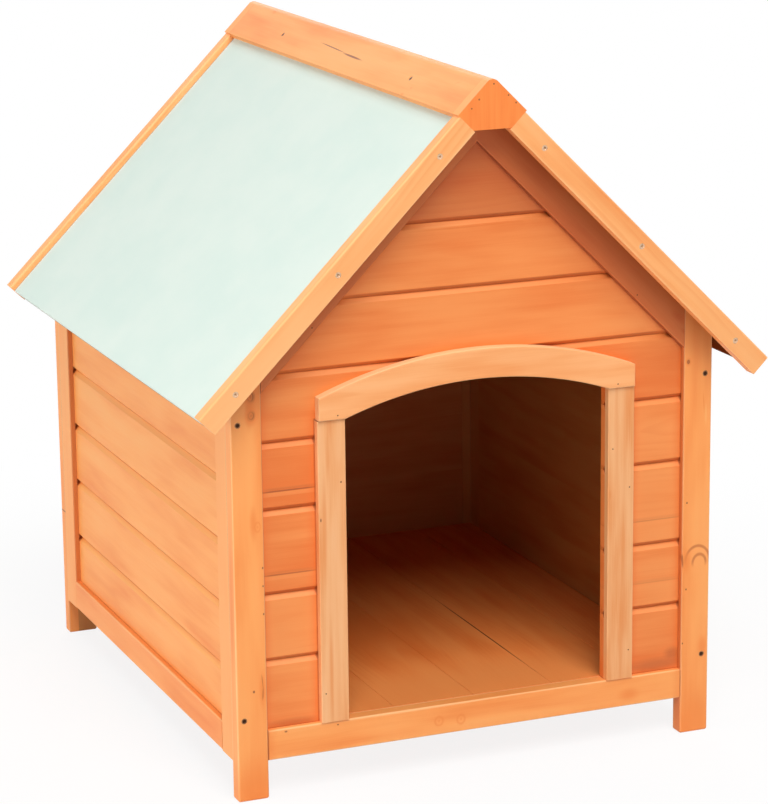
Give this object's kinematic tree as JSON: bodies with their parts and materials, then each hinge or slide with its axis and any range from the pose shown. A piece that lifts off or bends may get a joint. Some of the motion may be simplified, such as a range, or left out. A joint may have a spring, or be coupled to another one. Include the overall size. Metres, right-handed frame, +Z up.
{
  "type": "dog house",
  "caption": "Wooden dog house with framed and boarded walls on legs, arched doorway, plank floor and a steep felted roof with barge boards and a boxed ridge.",
  "frame": {"origin": "on the ground, in the middle of the overall box", "axes": "+Z up; the doorway faces -Y; +X is to the right as seen from the front"},
  "size_m": [0.72, 0.794, 0.8386],
  "materials": {
    "frame_wood": "satin stain",
    "wall_boards": "satin stain",
    "door_trim": "matt",
    "roof_trim": "satin stain",
    "floor_boards": "satin stain",
    "inner_battens": "planed",
    "roof_deck": "matt",
    "roof_felt": "mineral felt",
    "screw_steel": "zinc plated"
  },
  "bodies": {
    "root": {"barge_screws": "screw_steel", "door_header": "door_trim", "door_left_jamb": "door_trim", "door_right_jamb": "door_trim", "floor_bearers": "inner_battens", "floor_planks": "floor_boards", "front_board_1_left": "wall_boards", "front_board_1_right": "wall_boards", "front_board_2_left": "wall_boards", "front_board_2_right": "wall_boards", "front_board_3_left": "wall_boards", "front_board_3_right": "wall_boards", "front_board_4_left": "wall_boards", "front_board_4_right": "wall_boards", "front_board_5": "wall_boards", "front_board_6": "wall_boards", "front_board_7": "wall_boards", "front_board_8": "wall_boards", "front_bottom_rail": "frame_wood", "front_left_barge_board": "roof_trim", "front_left_gable_batten": "frame_wood", "front_left_post": "frame_wood", "front_left_side_stile": "frame_wood", "front_ridge_plate": "roof_trim", "front_right_barge_board": "roof_trim", "front_right_gable_batten": "frame_wood", "front_right_post": "frame_wood", "front_right_side_stile": "frame_wood", "left_boards": "wall_boards", "left_bottom_rail": "frame_wood", "left_top_rail": "frame_wood", "panel_screws": "screw_steel", "rear_boards": "wall_boards", "rear_bottom_rail": "frame_wood", "rear_left_barge_board": "roof_trim", "rear_left_gable_batten": "frame_wood", "rear_left_post": "frame_wood", "rear_left_side_stile": "frame_wood", "rear_ridge_plate": "roof_trim", "rear_right_barge_board": "roof_trim", "rear_right_gable_batten": "frame_wood", "rear_right_post": "frame_wood", "rear_right_side_stile": "frame_wood", "ridge_board_left": "roof_trim", "ridge_board_right": "roof_trim", "ridge_screws": "screw_steel", "right_boards": "wall_boards", "right_bottom_rail": "frame_wood", "right_top_rail": "frame_wood", "roof_braces_left": "inner_battens", "roof_braces_right": "inner_battens", "roof_deck_left": "roof_deck", "roof_deck_right": "roof_deck", "roof_felt_left": "roof_felt", "roof_felt_right": "roof_felt"}
  },
  "joints": []
}
